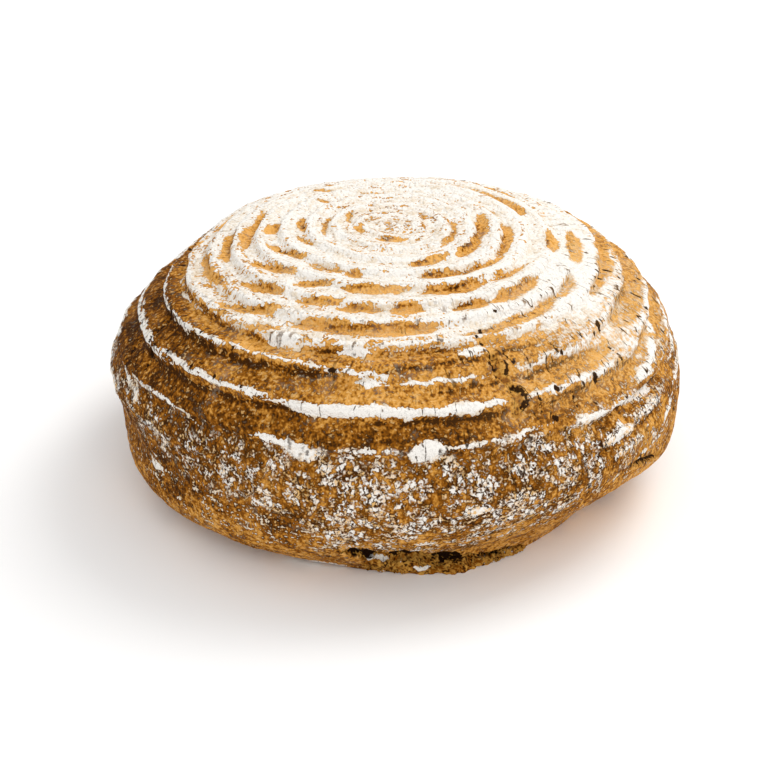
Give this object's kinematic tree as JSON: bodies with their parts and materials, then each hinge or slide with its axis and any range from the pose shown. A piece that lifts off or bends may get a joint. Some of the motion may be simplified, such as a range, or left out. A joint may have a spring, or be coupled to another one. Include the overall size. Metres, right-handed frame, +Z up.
{
  "type": "sourdough loaf",
  "caption": "Round floured sourdough loaf with concentric basket ridges, a split shoulder and a burst foot.",
  "frame": {"origin": "on the flat base, under the middle of the loaf's box", "axes": "+Z up out of the crown, -Y to the front, where the foot has burst, +X to the right seen from the front"},
  "size_m": [0.2402, 0.239, 0.1107],
  "materials": {
    "crust": "dull golden brown baked crust, partly covered by dry white flour"
  },
  "bodies": {
    "root": {"loaf": "crust"}
  },
  "joints": []
}
